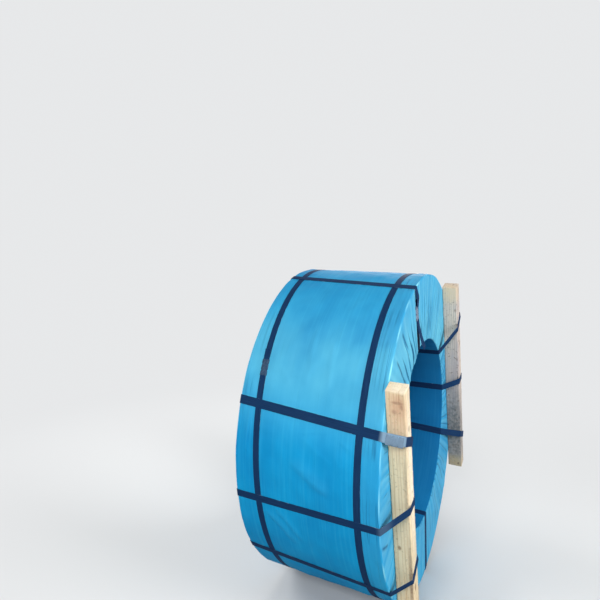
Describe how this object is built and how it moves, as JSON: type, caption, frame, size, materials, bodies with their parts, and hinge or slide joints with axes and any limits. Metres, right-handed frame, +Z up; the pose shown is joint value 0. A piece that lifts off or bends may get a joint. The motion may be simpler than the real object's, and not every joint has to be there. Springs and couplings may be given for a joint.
{
  "type": "coil of steel strand",
  "caption": "Wide coil of steel strand wrapped in woven sheet, standing on its tread, with steel bands round the tread and through the bore and timber battens on one end.",
  "frame": {"origin": "on the floor under the coil's axis, at the middle of the pack's width", "axes": "+X along the coil's axis, out of the end with the battens; +Z up; -Y towards the side seen in the picture"},
  "size_m": [0.6238, 1.3697, 1.3626],
  "materials": {
    "strand": "bright drawn wire",
    "wrap": "woven plastic sheet, satin",
    "band": "dark painted steel band, satin",
    "seal": "galvanised",
    "batten": "rough sawn softwood"
  },
  "bodies": {
    "root": {"strand_coil": "strand", "outer_wrap": "wrap", "bore_wrap": "wrap", "batten_near": "batten", "batten_far": "batten", "cross_band_1": "band", "cross_band_2": "band", "cross_band_3": "band", "cross_band_4": "band", "cross_band_5": "band", "cross_band_6": "band", "cross_band_7": "band", "cross_band_8": "band", "tread_band_left": "band", "tread_band_right": "band", "seal_tread_left": "seal", "seal_tread_right": "seal", "seal_cross_1": "seal", "seal_cross_2": "seal", "seal_cross_3": "seal", "seal_cross_4": "seal", "seal_cross_5": "seal", "seal_cross_6": "seal", "seal_cross_7": "seal", "seal_cross_8": "seal"}
  },
  "joints": []
}
